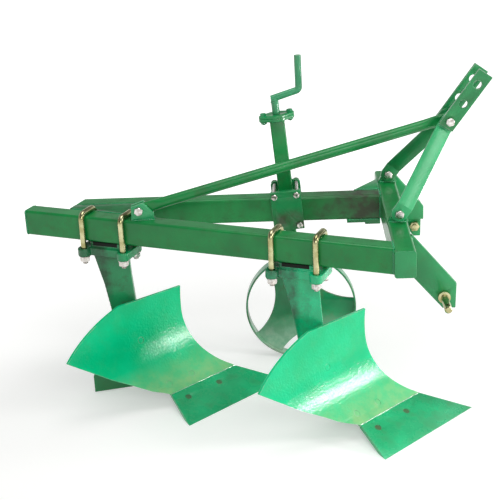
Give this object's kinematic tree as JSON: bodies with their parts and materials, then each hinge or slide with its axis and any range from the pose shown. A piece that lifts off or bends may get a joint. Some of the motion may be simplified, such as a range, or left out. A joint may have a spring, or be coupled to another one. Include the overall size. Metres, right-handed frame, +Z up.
{
  "type": "mounted moldboard plough",
  "caption": "Mounted moldboard plough: slanting beam with moldboard bodies on U-bolted legs, A-frame mast, lower hitch pins and a screw-adjusted gauge wheel.",
  "frame": {"origin": "axis of the right-hand lower hitch pin, at the middle of the length that the tractor's lower link ball sits on", "axes": "+X forward, the direction of travel; +Y to the left, the land side; +Z up; the plough stands parked, shares, landsides and wheel on the floor"},
  "size_m": [1.4391, 0.9144, 1.0511],
  "materials": {
    "green_paint": "gloss",
    "yellow_zinc": "satin",
    "bright_zinc": "satin"
  },
  "bodies": {
    "frame": {"beam_corner_wedge": "green_paint", "beam_end_caps": "green_paint", "brace": "green_paint", "brace_bolt": "bright_zinc", "brace_clevis": "green_paint", "front_aft_u_bolt": "yellow_zinc", "front_fore_u_bolt": "yellow_zinc", "front_frog": "green_paint", "front_landside": "green_paint", "front_leg": "green_paint", "front_moldboard": "green_paint", "front_plough_bolts": "green_paint", "front_share": "green_paint", "headstock_end_caps": "green_paint", "headstock_tube": "green_paint", "left_ear_bolt": "bright_zinc", "left_hitch_doubler": "green_paint", "left_hitch_pin": "yellow_zinc", "left_hitch_plate": "green_paint", "left_mast_bar": "green_paint", "left_mast_ear": "green_paint", "left_mast_plate": "green_paint", "main_beam": "green_paint", "mast_foot_bolt": "bright_zinc", "mast_sleeves": "green_paint", "post_cap": "green_paint", "post_cap_bolts": "green_paint", "post_flange": "green_paint", "rear_aft_u_bolt": "yellow_zinc", "rear_fore_u_bolt": "yellow_zinc", "rear_frog": "green_paint", "rear_landside": "green_paint", "rear_leg": "green_paint", "rear_moldboard": "green_paint", "rear_plough_bolts": "green_paint", "rear_share": "green_paint", "right_ear_bolt": "bright_zinc", "right_hitch_pin": "yellow_zinc", "right_hitch_plate": "green_paint", "right_mast_bar": "green_paint", "right_mast_ear": "green_paint", "right_mast_plate": "green_paint", "side_beam": "green_paint", "side_beam_top_gusset": "green_paint", "side_beam_under_plate": "green_paint", "wheel_clamp_back_plate": "green_paint", "wheel_clamp_bolts": "bright_zinc", "wheel_clamp_liner": "green_paint", "wheel_clamp_plate": "green_paint", "wheel_post": "green_paint"},
    "crank": {"crank": "green_paint"},
    "wheel_leg": {"wheel_leg": "green_paint", "wheel_axle": "bright_zinc"},
    "gauge_wheel": {"gauge_wheel": "green_paint"}
  },
  "joints": [
    {"name": "crank_turn", "type": "hinge", "parent": "frame", "child": "crank", "pos_m": [-0.4507, 0.503, 0.192], "axis": [-0.0872, 0, 0.9962], "range_deg": [-7800, 6000]},
    {"name": "leg_slide", "type": "slide", "parent": "frame", "child": "wheel_leg", "axis": [-0.0872, 0, 0.9962], "range_m": [-0.101, 0.131]},
    {"name": "wheel_spin", "type": "hinge", "parent": "wheel_leg", "child": "gauge_wheel", "pos_m": [-0.41273, 0.503, -0.242], "axis": [0, 1, 0], "continuous": true}
  ],
  "couplings": [
    {"joint": "leg_slide", "follows": "crank_turn", "m_per_rad": -0.00095493}
  ]
}
